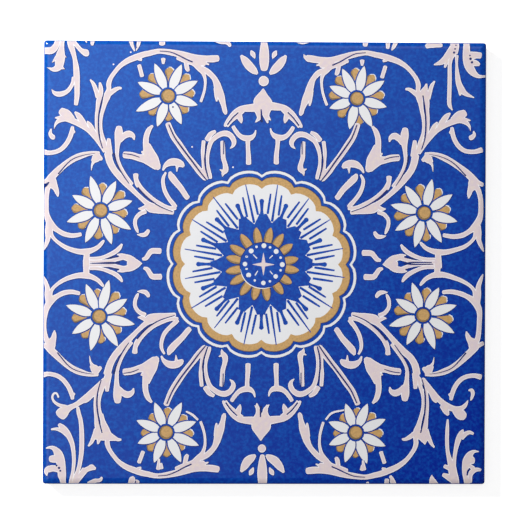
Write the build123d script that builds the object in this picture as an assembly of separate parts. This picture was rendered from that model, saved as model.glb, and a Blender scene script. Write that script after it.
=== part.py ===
"""A square dry-pressed wall tile, fired and glazed as one piece.

It lies on its keyed back with the glazed face up. The origin is the middle of the
back's bedding plane, +Z points out of the glazed face, and the sides are parallel
to X and Y. All sizes are in millimetres.
"""

import os

from build123d import *

# The whole tile
tile_side = 108.0
tile_thickness = 6.0
corner_radius = 0.8

# The glazed face rolls off into the sides along a shallow cushion, and the
# cushion ends in a small arris where the side begins.
cushion_width = 1.6
cushion_radius = 3.2
arris_radius = 0.35

# The sides stand upright over the grouted band and lean in under it, as the
# press needs to let the blank go.
grout_band_foot = 2.4
back_inset = 0.35
back_chamfer = 0.4

# The back is bedded in mortar. Shallow square pockets leave a lattice of ribs
# that keys into it, inside a plain rim.
key_rows = 8
key_rim = 5.0
key_rib = 2.6
key_depth = 0.8
key_draft = 20.0
key_corner_radius = 1.2

cutter_overrun = 5.0


def cushion_drop():
    """How far the cushion arc falls over its width: the sagitta of the arc."""
    return cushion_radius - (cushion_radius**2 - cushion_width**2) ** 0.5


def half_section():
    """One half of the section through the tile, from the centre line to one side."""
    half_side = tile_side / 2
    shoulder = tile_thickness - cushion_drop()
    foot = half_side - back_inset
    with BuildSketch(Plane.XZ) as section:
        with BuildLine():
            Polyline(
                (half_side, shoulder),
                (half_side, grout_band_foot),
                (foot, back_chamfer),
                (foot - back_chamfer, 0),
                (0, 0),
                (0, tile_thickness),
                (half_side - cushion_width, tile_thickness),
            )
            RadiusArc(
                (half_side - cushion_width, tile_thickness),
                (half_side, shoulder),
                cushion_radius,
            )
        make_face()
        arris = section.vertices().sort_by_distance((half_side, shoulder))[0]
        fillet(arris, arris_radius)
    return section.sketch


def bar():
    """The tile's section carried straight through, with both of its long edges shaped."""
    half = half_section()
    whole = half + half.mirror(Plane.YZ)
    length = tile_side / 2 + cutter_overrun
    return extrude(whole, amount=length, both=True)


def plan_blank():
    """An upright prism with the plan of the tile and its rounded corners."""
    plan = RectangleRounded(tile_side, tile_side, corner_radius)
    blank = extrude(plan, amount=tile_thickness + cutter_overrun)
    return Pos(0, 0, -cutter_overrun / 2) * blank


def key_pockets():
    """The pockets pressed into the back, narrower at the bottom than at the mouth."""
    pitch = (tile_side - 2 * key_rim + key_rib) / key_rows
    mouth = pitch - key_rib
    pocket = extrude(
        RectangleRounded(mouth, mouth, key_corner_radius),
        amount=key_depth,
        taper=key_draft,
    )
    grid = GridLocations(pitch, pitch, key_rows, key_rows)
    return [place * pocket for place in grid]


def tile():
    """Two crossed bars leave the shaped edges on all four sides, mitred at the corners."""
    along_y = bar()
    along_x = along_y.rotate(Axis.Z, 90)
    body = along_y & along_x & plan_blank()
    return body - key_pockets()


os.makedirs("parts", exist_ok=True)
made = tile()
export_step(made, "parts/tile.step")
print("volume", round(made.volume), "box", made.bounding_box().size)
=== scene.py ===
"""Dresses a fired wall tile: a painted glaze skin over its face and sides, and bare biscuit below.

The painting is worked out in millimetres on the face, x to the right and y up from its middle.
Each colour is a region of the skin's own mesh, so its edges stay sharp at any size.
"""

from math import cos, pi, radians, sin, tan

import bpy
import numpy as np
from mathutils import Matrix, Vector
from mathutils.geometry import delaunay_2d_cdt


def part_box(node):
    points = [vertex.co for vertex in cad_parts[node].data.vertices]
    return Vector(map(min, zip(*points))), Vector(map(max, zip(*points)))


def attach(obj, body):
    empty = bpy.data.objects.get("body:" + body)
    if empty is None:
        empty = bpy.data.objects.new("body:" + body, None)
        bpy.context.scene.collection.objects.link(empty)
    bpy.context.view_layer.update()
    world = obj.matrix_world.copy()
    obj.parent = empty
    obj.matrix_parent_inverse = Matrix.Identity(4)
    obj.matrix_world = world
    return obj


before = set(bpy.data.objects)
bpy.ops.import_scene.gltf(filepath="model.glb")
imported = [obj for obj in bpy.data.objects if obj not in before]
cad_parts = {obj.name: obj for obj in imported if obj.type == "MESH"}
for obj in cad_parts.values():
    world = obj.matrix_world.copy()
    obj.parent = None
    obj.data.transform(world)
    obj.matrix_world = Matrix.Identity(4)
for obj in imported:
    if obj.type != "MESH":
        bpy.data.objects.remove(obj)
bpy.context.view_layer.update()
TILE_LOW, TILE_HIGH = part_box("tile")
MM = 0.001
# A length below this counts as none, and none is divided by less.
SMALLEST = 1e-9

bl_info = {
    "name": "Scrollwork wall tile",
    "version": (1, 0, 0),
    "blender": (4, 5, 0),
    "location": "View3D > Sidebar > Tile",
    "description": "Builds the glaze, the painting and the biscuit of a wall tile, and its studio",
    "category": "Object",
}


# Sizes and colours that a user may change


class TileSizes(bpy.types.PropertyGroup):
    """Sizes of the glaze skin and its painting, in metres."""

    glaze: bpy.props.FloatProperty(
        name="Glaze", description="How far the skin stands proud of the body",
        default=0.00003, unit="LENGTH")
    cushion_width: bpy.props.FloatProperty(
        name="Cushion width", description="Width of the roll-off along each edge",
        default=0.0016, unit="LENGTH")
    cushion_radius: bpy.props.FloatProperty(
        name="Cushion radius", description="Radius of the roll-off",
        default=0.0032, unit="LENGTH")
    arris_radius: bpy.props.FloatProperty(
        name="Arris radius", description="Rounding where the roll-off meets the side",
        default=0.00035, unit="LENGTH")
    corner_radius: bpy.props.FloatProperty(
        name="Corner radius", description="Rounding of the four corners in plan",
        default=0.0008, unit="LENGTH")
    glaze_run: bpy.props.FloatProperty(
        name="Glaze run", description="How far the glaze runs down the sides",
        default=0.0027, unit="LENGTH")
    key_line: bpy.props.FloatProperty(
        name="Key line", description="Width of the dark line round each painted shape",
        default=0.00013, unit="LENGTH")


class GlazeColours(bpy.types.PropertyGroup):
    """Colours of the fired glazes, as linear light."""

    cobalt: bpy.props.FloatVectorProperty(
        name="Cobalt", description="The blue ground", subtype="COLOR", size=3,
        default=(0.0003, 0.012, 0.258))
    # Partly the glaze's own random mottle, and partly painted light: the ground drifts to this
    # paler blue towards the top left corner, where the light comes from.
    cobalt_mottle_and_painted_light: bpy.props.FloatVectorProperty(
        name="Light cobalt", description="The blue ground where it fired paler",
        subtype="COLOR", size=3, default=(0.0035, 0.107, 0.488))
    ink: bpy.props.FloatVectorProperty(
        name="Key line", description="The dark line round each shape", subtype="COLOR", size=3,
        default=(0.006, 0.02, 0.13))
    pink: bpy.props.FloatVectorProperty(
        name="Scroll pink", description="The heart of the scrollwork", subtype="COLOR", size=3,
        default=(0.685, 0.58, 0.625))
    cream: bpy.props.FloatVectorProperty(
        name="Scroll cream", description="The scrollwork where the pink fired warmer",
        subtype="COLOR", size=3, default=(0.76, 0.65, 0.58))
    rim: bpy.props.FloatVectorProperty(
        name="Scroll rim", description="The paler rim of the scrollwork", subtype="COLOR", size=3,
        default=(0.85, 0.83, 0.87))
    white: bpy.props.FloatVectorProperty(
        name="Petal white", description="The daisies and the rosette", subtype="COLOR", size=3,
        default=(0.755, 0.76, 0.775))
    gold: bpy.props.FloatVectorProperty(
        name="Ochre", description="The gilded leaves", subtype="COLOR", size=3,
        default=(0.57, 0.345, 0.135))
    gold_shade: bpy.props.FloatVectorProperty(
        name="Ochre shade", description="The dark side of the gilded leaves", subtype="COLOR",
        size=3, default=(0.20, 0.14, 0.07))
    biscuit: bpy.props.FloatVectorProperty(
        name="Biscuit", description="The bare fired clay", subtype="COLOR", size=3,
        default=(0.68, 0.60, 0.49))


class StageSettings(bpy.types.PropertyGroup):
    """The camera, the lights and the floor."""

    # The distance is a guess. The leans, the roll, the lens and the aim are the rounded results of
    # a least-squares fit, worked out at that distance from where the tile's four corners lie in the
    # photo.
    distance: bpy.props.FloatProperty(
        name="Camera distance", description="From the middle of the face to the camera",
        default=0.62, unit="LENGTH")
    lean_left: bpy.props.FloatProperty(
        name="Camera lean to the left", description="How far the camera stands off plumb",
        default=radians(1.88), subtype="ANGLE")
    lean_up: bpy.props.FloatProperty(
        name="Camera lean towards the top", description="How far the camera stands off plumb",
        default=radians(0.21), subtype="ANGLE")
    roll: bpy.props.FloatProperty(
        name="Camera roll", description="Turn of the camera about its own line of sight",
        default=radians(0.21), subtype="ANGLE")
    lens: bpy.props.FloatProperty(
        name="Lens", description="Focal length on a 36 mm wide sensor, in millimetres",
        default=172.46)
    aim_drop: bpy.props.FloatProperty(
        name="Aim", description="How far below the tile's middle the camera aims",
        default=0.00052, unit="LENGTH")
    lamp_power: bpy.props.FloatProperty(
        name="Lamp power", description="Power of the big soft lamp", default=4.8, unit="POWER")
    floor_size: bpy.props.FloatProperty(
        name="Floor size", description="Side of the plain floor", default=3.0, unit="LENGTH")
    floor_lift: bpy.props.FloatProperty(
        name="Floor lift", description="Extra white that only the camera sees on the floor",
        default=0.78)


# Shader expressions


class Shade:
    """A shader socket that adds Math nodes when it is used in an expression."""

    def __init__(self, tree, socket):
        self.tree = tree
        self.socket = socket

    def node(self, kind, settings=None, inputs=None, output=0):
        """Adds a node of a type, sets its settings and then its sockets, and wraps an output."""
        made = self.tree.nodes.new(kind)
        for name, value in (settings or {}).items():
            setattr(made, name, value)
        for name, value in (inputs or {}).items():
            if isinstance(value, Shade):
                self.tree.links.new(value.socket, made.inputs[name])
            elif isinstance(value, (tuple, list)) and len(value) == 3:
                plain = made.inputs[name]
                plain.default_value = (*value, 1.0) if plain.type == "RGBA" else value
            else:
                made.inputs[name].default_value = value
        return Shade(self.tree, made.outputs[output])

    def math(self, operation, first, second):
        """A Math node on two sockets or values."""
        return self.node("ShaderNodeMath", {"operation": operation}, {0: first, 1: second})

    def __add__(self, other):
        return self.math("ADD", self, other)

    __radd__ = __add__

    def __mul__(self, other):
        return self.math("MULTIPLY", self, other)

    __rmul__ = __mul__

    def __sub__(self, other):
        return self.math("SUBTRACT", self, other)

    def __rsub__(self, other):
        return self.math("SUBTRACT", other, self)

    def step(self, low, high):
        """0 below low, 1 above high and a smooth rise between them."""
        return self.node(
            "ShaderNodeMapRange",
            {"interpolation_type": "SMOOTHSTEP"},
            {"Value": self, "From Min": low, "From Max": high})

    def along(self, way):
        """How far this point or direction reaches along a way: their dot product."""
        return self.node(
            "ShaderNodeVectorMath", {"operation": "DOT_PRODUCT"}, {0: self, 1: way}, "Value")

    def noise(self, scale, detail):
        """Noise at this point, with its waves in a metre and its layers of finer ones."""
        return self.node(
            "ShaderNodeTexNoise", None, {"Vector": self, "Scale": scale, "Detail": detail})

    def bump(self, strength, depth):
        """The normal of a surface that this height shapes, over a depth in metres."""
        return self.node(
            "ShaderNodeBump", None, {"Height": self, "Strength": strength, "Distance": depth})


def new_material(name):
    """A material with an empty node tree."""
    material = bpy.data.materials.new(name)
    material.use_nodes = True
    material.node_tree.nodes.clear()
    return material


def mix_colours(factor, first, second):
    """The Mix node has an A and a B for each data type, so the colour ones go in by number."""
    made = factor.tree.nodes.new("ShaderNodeMix")
    made.data_type = "RGBA"
    for value, index in ((factor, 0), (first, 6), (second, 7)):
        if isinstance(value, Shade):
            factor.tree.links.new(value.socket, made.inputs[index])
        else:
            made.inputs[index].default_value = (*value, 1.0) if index > 0 else value
    return Shade(factor.tree, made.outputs[2])


def finish_material(material, inputs):
    """A Principled shader with those sockets, linked to the output."""
    tree = material.node_tree
    shader = Shade(tree, None).node("ShaderNodeBsdfPrincipled", None, inputs)
    output = tree.nodes.new("ShaderNodeOutputMaterial")
    tree.links.new(shader.socket, output.inputs["Surface"])
    return material


def object_point(material):
    """Object coordinates, in metres on the finished tile."""
    return Shade(material.node_tree, None).node("ShaderNodeTexCoord", None, None, "Object")


GLAZE_ROUGHNESS = 0.09
GLAZE_IOR = 1.5
SAG_SCALE = 55.0
PEEL_SCALE = 700.0
PEEL_SHARE = 0.04
SAG_STRENGTH = 0.25
SAG_DEPTH = 0.0004
CLOUD_DETAIL = 3.0
CLOUD_STEP = (0.35, 0.75)
# Painted light: grows by about one from the bottom right corner of the face to the top left one,
# where the light comes from.
PAINTED_LIGHT_WAY = (-4.6, 4.6, 0.0)


def glaze_bump(point):
    """Normal of a flowed glaze: a slow sag of the surface and a very faint orange peel."""
    height = point.noise(SAG_SCALE, 1.0) + point.noise(PEEL_SCALE, 1.0) * PEEL_SHARE
    return height.bump(SAG_STRENGTH, SAG_DEPTH)


def glazed(name, colour, second, amount, scale, painted_light_drift):
    """A glaze whose colour wanders from one to a second by a noise of that scale, and drifts
    from one to the other across the face from the bottom right corner to the top left one: this
    drift is painted light, towards the side the light comes from."""
    material = new_material(name)
    point = object_point(material)
    cloud = point.noise(scale, CLOUD_DETAIL).step(*CLOUD_STEP)
    # The cloud is the glaze's own mottle; the drift is painted light towards the top left corner.
    tone_and_painted_light = cloud * amount + (point.along(PAINTED_LIGHT_WAY) + 0.5) * painted_light_drift
    inputs = {
        "Base Color": mix_colours(tone_and_painted_light, tuple(colour), tuple(second)),
        "Roughness": GLAZE_ROUGHNESS,
        "IOR": GLAZE_IOR,
        "Normal": glaze_bump(point),
    }
    return finish_material(material, inputs)


# The painting: brush marks as profiles carried along paths


class Painting:
    """Marks of the brush, each with its outline, its fill and its glaze. A later one covers an
    earlier one."""

    def __init__(self):
        self.marks = []

    def strip(self, left, right, glaze):
        """The band between two rows of points that run side by side, as two triangles for each
        step, so that a tight bend, whose inner row folds back, still fills."""
        count = len(left)
        points = np.concatenate([left, right])
        row = np.arange(count - 1)
        near = np.stack([row + count, row + count + 1, row + 1], axis=1)
        far = np.stack([row + count, row + 1, row], axis=1)
        sides = np.stack([row, row + 1], axis=1)
        ends = np.array([[0, count], [count - 1, 2 * count - 1]])
        outline = np.concatenate([sides, sides + count, ends])
        self.marks.append((points, np.concatenate([near, far]), outline, glaze))


STATIONS_PER_SPAN = 4
CAP_STATIONS = 4
CAP_BLUNTNESS = 0.5


def along(points):
    """A Catmull-Rom curve through rows of (x, y, width): each span is the cubic whose end
    slopes are half the chord between that end's two neighbours."""
    rows = np.array(points, float)
    if len(rows) == 2:
        t = np.linspace(0.0, 1.0, STATIONS_PER_SPAN)[:, None]
        return rows[0] * (1 - t) + rows[1] * t
    before = np.vstack([2 * rows[0] - rows[1], rows[:-2]])
    after = np.vstack([rows[2:], 2 * rows[-1] - rows[-2]])
    start, end = rows[:-1], rows[1:]
    t = np.linspace(0.0, 1.0, STATIONS_PER_SPAN, endpoint=False)[None, :, None]
    slope_in = (end - before)[:, None, :] / 2
    slope_out = (after - start)[:, None, :] / 2
    p, q = start[:, None, :], end[:, None, :]
    curve = (
        (2 * t**3 - 3 * t**2 + 1) * p + (t**3 - 2 * t**2 + t) * slope_in
        + (3 * t**2 - 2 * t**3) * q + (t**3 - t**2) * slope_out)
    curve = np.vstack([curve.reshape(-1, 3), rows[-1]])
    curve[:, 2] = np.clip(curve[:, 2], 0.0, None)
    return curve


def with_caps(curve, grow):
    """Widens a curve's rows by a margin on each side, and adds flattened half circles at its
    ends."""
    curve = curve.copy()
    curve[:, 2] += 2 * grow
    heading = curve[1:, :2] - curve[:-1, :2]
    ends = []
    for place, way in ((0, -heading[0]), (-1, heading[-1])):
        way = way / max(np.hypot(*way), SMALLEST)
        radius = curve[place, 2] / 2 * CAP_BLUNTNESS
        angle = np.linspace(0.0, pi / 2, CAP_STATIONS)[1:]
        cap = np.empty((len(angle), 3))
        cap[:, :2] = curve[place, :2] + way * radius * np.sin(angle)[:, None]
        cap[:, 2] = curve[place, 2] * np.cos(angle)
        ends.append(cap)
    return np.vstack([ends[0][::-1], curve, ends[1]])


def edges_of(curve):
    """The left and right edges of a profile carried along a curve, square to its heading."""
    heading = np.gradient(curve[:, :2], axis=0)
    length = np.hypot(heading[:, 0], heading[:, 1])[:, None]
    heading = heading / np.maximum(length, SMALLEST)
    across = np.stack([-heading[:, 1], heading[:, 0]], axis=1) * curve[:, 2:] / 2
    return curve[:, :2] + across, curve[:, :2] - across


def brush(painting, points, glaze, grow=0.0, shift=(0.0, 0.0)):
    """One mark of the brush, widened by grow and moved by shift."""
    curve = with_caps(along(points), grow)
    curve[:, :2] += shift
    left, right = edges_of(curve)
    painting.strip(left, right, glaze)


def ray(base, way, rows):
    """The points of a straight mark, from rows of (share of the way, width)."""
    return [(*(base + way * share), width) for share, width in rows]


# A petal is fullest a little before half way, and a leaf is broadest near its rounded tip:
# rows of (share of the way, share of the width)
PETAL = ((0.0, 0.5), (0.2, 0.92), (0.4, 1.0), (0.66, 0.8), (0.87, 0.4), (1.0, 0.0))
LEAF = ((0.0, 0.2), (0.4, 0.62), (0.75, 1.0), (0.92, 0.8), (0.98, 0.45))


def blade(base, tip, width, profile):
    """The rows of a petal or a leaf from its base to its tip."""
    base, tip = np.array(base, float), np.array(tip, float)
    return ray(base, tip - base, [(share, width * part) for share, part in profile])


DOT_STATIONS = 9


def dot(painting, centre, radius, glaze, grow=0.0):
    """A round spot."""
    angle = np.linspace(0.0, pi, DOT_STATIONS)
    reach = radius + grow
    x = centre[0] - reach * np.cos(angle)
    y = reach * np.sin(angle)
    painting.strip(
        np.stack([x, centre[1] + y], axis=1), np.stack([x, centre[1] - y], axis=1), glaze)


KEY_SHIFT = (0.05, -0.06)


# Daisies: centre, the tips of the eight white petals, the tips of the eight ochre leaves

DAISIES = (
    ((-23.8, 40.6),
     ((-27.1, 48.5), (-20.5, 48.3), (-16.6, 44.3), (-16.6, 38.4),
      (-20.5, 33.7), (-26.4, 33.1), (-31.6, 36.8), (-31.2, 43.9)),
     ((-23.5, 46.9), (-19.2, 45.2), (-18.0, 41.2), (-19.5, 37.0),
      (-23.8, 35.0), (-28.0, 36.5), (-30.2, 41.0), (-28.0, 45.3))),
    ((22.3, 40.2),
     ((24.1, 48.2), (29.0, 44.6), (29.6, 38.2), (26.0, 33.3),
      (20.5, 32.7), (15.6, 37.8), (15.6, 43.2), (18.7, 47.5)),
     ((21.8, 46.9), (26.0, 45.4), (28.3, 41.0), (26.6, 36.8),
      (22.8, 34.3), (18.2, 36.2), (16.0, 41.0), (17.6, 44.9))),
    ((-40.1, 12.6),
     ((-42.6, 21.0), (-36.4, 19.8), (-32.4, 15.0), (-32.7, 8.0),
      (-37.4, 4.4), (-43.8, 4.8), (-48.3, 9.8), (-47.0, 16.3)),
     ((-39.8, 18.6), (-35.0, 16.6), (-34.3, 11.8), (-36.5, 7.6),
      (-40.8, 6.2), (-45.0, 8.8), (-46.6, 13.1), (-44.0, 17.5))),
    ((38.9, 12.3),
     ((40.8, 20.6), (45.8, 16.9), (47.0, 10.3), (43.2, 5.1),
      (36.6, 3.9), (31.8, 8.0), (30.7, 14.3), (34.2, 19.0)),
     ((37.7, 18.6), (42.4, 17.6), (44.6, 13.1), (43.6, 8.9),
      (39.3, 6.0), (34.9, 7.3), (32.1, 11.5), (33.8, 16.2))),
    ((-40.4, -13.2),
     ((-43.6, -5.3), (-38.0, -4.3), (-33.6, -8.9), (-31.7, -15.1),
      (-35.8, -20.5), (-42.4, -21.5), (-46.9, -17.4), (-48.4, -10.5)),
     ((-41.0, -7.2), (-36.2, -8.0), (-34.5, -12.0), (-35.7, -16.8),
      (-40.0, -19.2), (-44.1, -17.9), (-46.5, -13.6), (-44.6, -8.6))),
    ((38.7, -12.7),
     ((36.0, -4.7), (42.6, -5.9), (46.9, -10.2), (46.4, -17.0),
      (41.6, -21.0), (34.7, -19.9), (30.4, -15.3), (32.0, -8.7)),
     ((39.5, -6.7), (43.8, -8.8), (45.3, -13.8), (42.6, -17.8),
      (37.8, -19.1), (33.6, -17.0), (32.2, -11.5), (34.8, -8.0))),
    ((-24.0, -41.4),
     ((-26.8, -34.1), (-20.2, -34.1), (-16.7, -38.8), (-16.0, -44.6),
      (-20.3, -48.7), (-26.9, -48.8), (-30.9, -44.1), (-31.2, -38.5)),
     ((-23.7, -36.0), (-19.6, -37.9), (-18.0, -41.8), (-20.2, -45.3),
      (-23.9, -46.9), (-28.0, -45.4), (-29.6, -41.6), (-27.6, -37.5))),
    ((22.3, -41.45),
     ((19.8, -34.3), (25.2, -34.3), (29.6, -38.1), (29.6, -44.7),
      (25.1, -49.0), (19.7, -48.7), (15.8, -44.4), (15.7, -38.8)),
     ((22.6, -36.0), (26.4, -37.3), (28.3, -41.7), (26.0, -45.6),
      (22.2, -47.0), (18.2, -45.5), (17.3, -41.6), (19.0, -37.5))),
)
DAISY_EYE = 1.65
EYE_GAP = 0.5
EYE_LINE = 0.12
EYE_SHADE = 0.3
DAISY_PETAL_WIDTH = 2.25
DAISY_LEAF_WIDTH = 2.15
LEAF_LIT_SHARE = 0.76
PETAL_GAP = 0.16
# Where petals and leaves begin and end, as shares of the way from the centre to their tips
PETAL_START = 0.24
LEAF_START = 0.5
LEAF_END = 1.07
# The lit parts and the glints lie up and to the right of the shaded ones.
LIGHT_FROM = np.array((0.12, 0.12))
GLINT = np.array((0.24, 0.2))


def daisy(painting, centre, petal_tips, leaf_tips, key):
    """Eight white petals over eight ochre leaves, round a ringed eye."""
    centre = np.array(centre)
    for tip in leaf_tips:
        way = np.array(tip) - centre
        base, end = centre + way * LEAF_START, centre + way * LEAF_END
        rows = blade(base, end, DAISY_LEAF_WIDTH, LEAF)
        lit = blade(base, end, DAISY_LEAF_WIDTH * LEAF_LIT_SHARE, LEAF)
        brush(painting, rows, "ink", key, KEY_SHIFT)
        brush(painting, rows[2:], "white", 0.0, GLINT)
        brush(painting, rows, "gold_shade")
        brush(painting, lit, "gold", 0.0, LIGHT_FROM)
    for tip in petal_tips:
        way = np.array(tip) - centre
        rows = blade(centre + way * PETAL_START, tip, DAISY_PETAL_WIDTH, PETAL)
        brush(painting, rows, "cobalt", key + PETAL_GAP)
        brush(painting, rows, "ink", key, KEY_SHIFT)
        brush(painting, rows, "white")
    dot(painting, centre, DAISY_EYE + EYE_GAP, "cobalt")
    dot(painting, centre, DAISY_EYE + EYE_LINE, "ink")
    dot(painting, centre, DAISY_EYE, "gold_shade")
    dot(painting, centre + LIGHT_FROM, DAISY_EYE - EYE_SHADE, "gold")


# The rosette in the middle

ROSETTE_CENTRE = np.array((-0.85, -0.35))
ROSETTE_STRETCH = np.array((1.01, 0.995))
LOBES = 16
STATIONS_PER_LOBE = 8
# How much of a lobe's arch is a half circle, and how much a parabola
ARCH_CIRCLE = 0.55
ARCH_PARABOLA = 0.45
# Each band's reach at its lobes and at its cusps, and its glaze
RINGS = (
    (23.35, 22.0, "ink"),
    (23.25, 21.9, "white"),
    (22.6, 21.25, "cobalt"),
    (21.84, 20.5, "ink"),
    (21.72, 20.38, "gold_shade"),
    (21.58, 20.24, "gold"),
    (19.9, 18.5, "rosette"),
    (12.5, 12.2, "cobalt"),
)


def scallop(lobe_reach, cusp_reach):
    """A closed row of points: the reach swells from cusp to lobe as a flattened arch, sixteen
    times round."""
    share = np.linspace(-1.0, 1.0, STATIONS_PER_LOBE, endpoint=False)
    arch = np.sqrt(1.0 - share**2) * ARCH_CIRCLE + (1.0 - share**2) * ARCH_PARABOLA
    reach = np.tile(cusp_reach + (lobe_reach - cusp_reach) * arch, LOBES)
    angle = pi / 2 + (np.arange(LOBES * STATIONS_PER_LOBE) / (LOBES * STATIONS_PER_LOBE)) * 2 * pi
    ways = np.stack([np.cos(angle), np.sin(angle)], axis=1)
    ring = ROSETTE_CENTRE + reach[:, None] * ways * ROSETTE_STRETCH
    return np.vstack([ring, ring[:1]])


# Each lobe's middle line, from its pointed inner tip outwards

LOBE_LINES = (
    (-2.6, 9.3, -4.8, 19.0), (1.6, 9.6, 3.0, 19.0), (5.2, 8.4, 10.6, 15.7),
    (8.2, 5.8, 15.8, 10.6), (9.7, 1.8, 19.0, 3.6), (9.7, -2.1, 19.4, -3.5),
    (8.1, -5.7, 16.5, -11.0), (5.2, -8.7, 11.2, -16.9), (1.3, -10.0, 2.8, -20.0),
    (-3.0, -10.2, -5.1, -19.9), (-6.3, -8.3, -12.3, -15.9), (-9.2, -5.8, -17.9, -11.1),
    (-10.4, -2.2, -19.5, -3.9), (-10.0, 1.7, -19.6, 3.3), (-9.0, 5.0, -17.8, 10.5),
    (-6.4, 8.0, -12.7, 16.0),
)
SUNFLOWER_TIPS = (
    (-2.3, 8.5), (1.3, 8.5), (4.3, 7.0), (6.6, 4.5), (8.0, 1.0), (8.2, -1.9), (6.4, -5.0),
    (4.3, -7.6), (0.6, -9.3), (-2.8, -9.1), (-6.0, -7.9), (-8.5, -5.2), (-9.6, -2.2),
    (-9.5, 1.3), (-8.6, 4.2), (-6.0, 6.9),
)
HUB_CENTRE = np.array((-0.55, -0.55))
HUB_REACH = 5.6
HUB_DOTS = (
    (-0.3, 4.2, 0.6), (2.7, 2.8, 0.6), (4.2, -0.4, 0.6), (2.6, -3.3, 0.55), (-0.4, -4.9, 0.55),
    (-4.0, -3.0, 0.6), (-4.9, -0.3, 0.55), (-3.4, 2.9, 0.6), (-2.1, 3.9, 0.32), (1.2, 3.8, 0.32),
    (3.8, 1.3, 0.32), (3.8, -1.8, 0.3), (1.2, -4.5, 0.3), (-2.5, -4.3, 0.3), (-4.5, -1.5, 0.3),
    (-4.5, 1.5, 0.32),
)
HUB_TICKS = (
    ((-2.9, 2.0, 0.2), (-2.0, 1.1, 0.3)), ((1.8, 1.8, 0.3), (1.1, 1.1, 0.2)),
    ((1.2, -2.0, 0.2), (1.8, -2.7, 0.3)), ((-1.8, -2.0, 0.2), (-2.4, -3.0, 0.3)),
    ((-6.0, -1.5, 0.05), (-5.6, -3.0, 0.2), (-4.6, -4.6, 0.24), (-2.8, -5.8, 0.22),
     (-0.6, -6.25, 0.2), (1.5, -5.9, 0.05)),
)
STAR = (
    ((-0.4, 2.4, 0.1), (-0.4, 1.0, 0.6), (-0.4, -0.35, 1.0), (-0.4, -1.6, 0.6), (-0.4, -3.0, 0.1)),
    ((-3.0, -0.4, 0.1), (-1.7, -0.4, 0.6), (-0.4, -0.4, 1.0), (0.9, -0.4, 0.6), (2.2, -0.4, 0.1)),
)


# Rows of (distance in mm, width) for a lobe's pointed end and the short lines beside its middle,
# and for the slots between the lobes; a sunflower petal's rows are (share of the way, width)
LOBE_POINT = ((0.1, 0.0), (0.8, 1.1), (1.7, 2.5), (2.6, 3.5), (3.6, 3.9), (4.4, 3.7))
LOBE_SIDE_LINE = ((2.3, 0.56), (4.6, 0.58), (7.1, 0.42))
LOBE_SIDE_GAP = 1.35
LOBE_LINE_START = 0.6
LOBE_LINE_WIDTHS = (0.62, 0.5, 0.22)
SLOT = ((15.3, 1.0), (14.4, 0.85), (13.2, 0.7), (12.2, 1.0), (11.2, 1.6))
SLOT_BALL_REACH = 15.4
SLOT_BALL_RADIUS = 0.58
SUNFLOWER_PETAL = ((0.0, 1.9), (0.35, 2.1), (0.65, 1.8), (0.86, 1.15), (0.97, 0.45))
SUNFLOWER_LIT_SHARE = 0.72
SUNFLOWER_TUCK = 0.3
HUB_LINE = 0.15
HUB_INSET = 0.05


def lobe(painting, line):
    """A lobe's pointed inner end, its long middle line and a shorter line on each side."""
    tip, end = np.array(line[:2]), np.array(line[2:])
    out = (end - tip) / np.hypot(*(end - tip))
    across = np.array((-out[1], out[0]))
    brush(painting, ray(tip, out, LOBE_POINT), "rosette")
    places = (tip + out * LOBE_LINE_START, (tip + end) / 2, end)
    middle = [(*place, width) for place, width in zip(places, LOBE_LINE_WIDTHS)]
    brush(painting, middle, "cobalt")
    for side in (-LOBE_SIDE_GAP, LOBE_SIDE_GAP):
        brush(painting, ray(tip + across * side, out, LOBE_SIDE_LINE), "cobalt")


def rosette(painting, key):
    """Scalloped bands, one inside the other, then the slots between the lobes, the lobes, the
    sunflower's pointed petals and its dotted hub."""
    for (reach, cusp, glaze), (inner, inner_cusp, _) in zip(RINGS[:-1], RINGS[1:]):
        painting.strip(scallop(reach, cusp), scallop(inner, inner_cusp), glaze)
    for number in range(LOBES):
        angle = pi / 2 + number * 2 * pi / LOBES
        way = np.array((cos(angle), sin(angle)))
        brush(painting, ray(ROSETTE_CENTRE, way, SLOT), "cobalt")
        dot(painting, ROSETTE_CENTRE + way * SLOT_BALL_REACH, SLOT_BALL_RADIUS, "cobalt")
    for line in LOBE_LINES:
        lobe(painting, line)
    for tip in SUNFLOWER_TIPS:
        way = np.array(tip) - HUB_CENTRE
        base = HUB_CENTRE + way / np.hypot(*way) * (HUB_REACH - SUNFLOWER_TUCK)
        rows = ray(base, tip - base, SUNFLOWER_PETAL)
        lit = [(x, y, width * SUNFLOWER_LIT_SHARE) for x, y, width in rows]
        brush(painting, rows, "ink", key, KEY_SHIFT)
        brush(painting, rows, "gold_shade")
        brush(painting, lit, "gold", 0.0, LIGHT_FROM)
    dot(painting, HUB_CENTRE, HUB_REACH + HUB_LINE, "ink")
    dot(painting, HUB_CENTRE, HUB_REACH - HUB_INSET, "cobalt")
    for x, y, radius in HUB_DOTS:
        dot(painting, (x, y), radius, "white")
    for rows in HUB_TICKS:
        brush(painting, rows, "white")
    for rows in STAR:
        brush(painting, rows, "pink")


# The scrollwork of the top left quarter: each mark's points as (x, y, width)

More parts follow.
